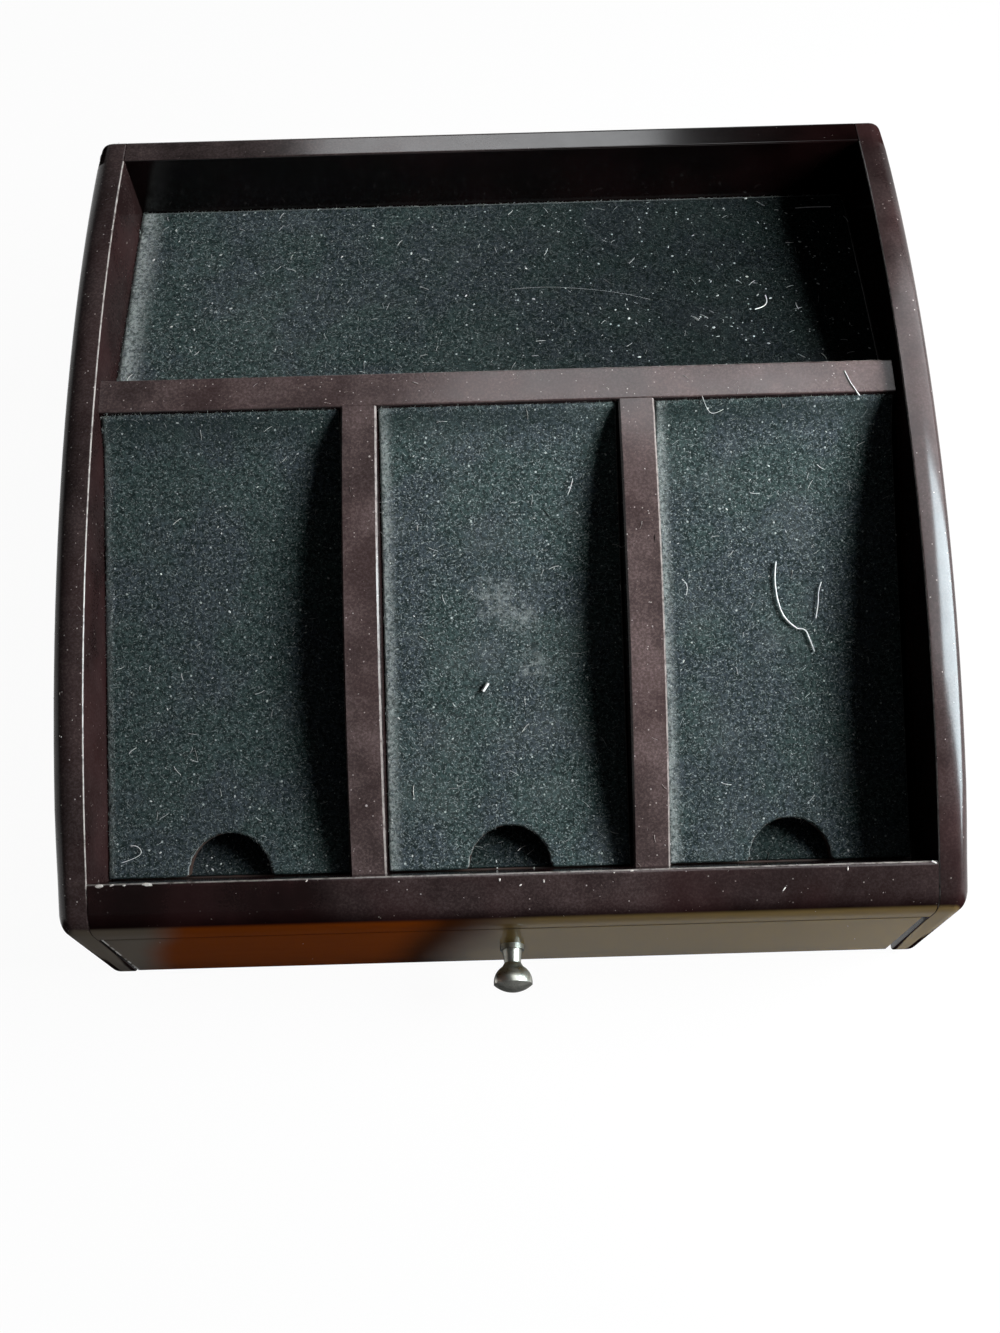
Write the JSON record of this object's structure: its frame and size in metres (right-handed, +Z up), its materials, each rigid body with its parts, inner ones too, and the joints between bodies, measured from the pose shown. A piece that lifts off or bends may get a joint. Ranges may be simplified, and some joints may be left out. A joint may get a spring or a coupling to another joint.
{
  "type": "cufflink box with drawer",
  "caption": "Dark lacquered cufflink box: curved sides, flat rear tray, three sloping felt-lined bays with lift-out trays, and a shallow drawer with a turned knob.",
  "frame": {"origin": "on the ground, at the middle of the whole object with its knob", "axes": "+Z up, -Y out through the drawer front, +X to the right seen from the front"},
  "size_m": [0.27, 0.2726, 0.115],
  "materials": {
    "lacquer": "dark brown lacquer, semi-gloss",
    "stained_board": "dark stained board",
    "felt": "dark green-grey felt",
    "aged_nickel": "aged nickel plate on turned brass",
    "plated_steel": "zinc-plated steel"
  },
  "bodies": {
    "case": {"left_side": "lacquer", "right_side": "lacquer", "back_panel": "lacquer", "front_rail": "lacquer", "base_board": "stained_board", "floor_board": "stained_board", "drawer_stops": "stained_board", "cross_partition": "lacquer", "left_divider": "lacquer", "right_divider": "lacquer", "left_bay_felt": "felt", "middle_bay_felt": "felt", "right_bay_felt": "felt", "left_ledge": "stained_board", "middle_ledge": "stained_board", "right_ledge": "stained_board", "rear_tray_board": "stained_board", "rear_tray_felt": "felt", "front_cleat": "stained_board", "back_cleat": "stained_board"},
    "drawer": {"drawer_front": "lacquer", "drawer_left_side": "stained_board", "drawer_right_side": "stained_board", "drawer_back": "stained_board", "drawer_bottom": "stained_board", "drawer_felt": "felt", "knob": "aged_nickel", "knob_screw": "plated_steel"},
    "left_tray": {"left_tray_board": "stained_board", "left_tray_felt": "felt"},
    "middle_tray": {"middle_tray_board": "stained_board", "middle_tray_felt": "felt"},
    "right_tray": {"right_tray_board": "stained_board", "right_tray_felt": "felt"}
  },
  "joints": [
    {"name": "drawer_slide", "type": "slide", "parent": "case", "child": "drawer", "axis": [0, -1, 0], "range_m": [0, 0.18]},
    {"name": "left_tray_lift", "type": "slide", "parent": "case", "child": "left_tray", "axis": [0, 0, 1], "range_m": [0, 0.08]},
    {"name": "middle_tray_lift", "type": "slide", "parent": "case", "child": "middle_tray", "axis": [0, 0, 1], "range_m": [0, 0.08]},
    {"name": "right_tray_lift", "type": "slide", "parent": "case", "child": "right_tray", "axis": [0, 0, 1], "range_m": [0, 0.08]}
  ]
}
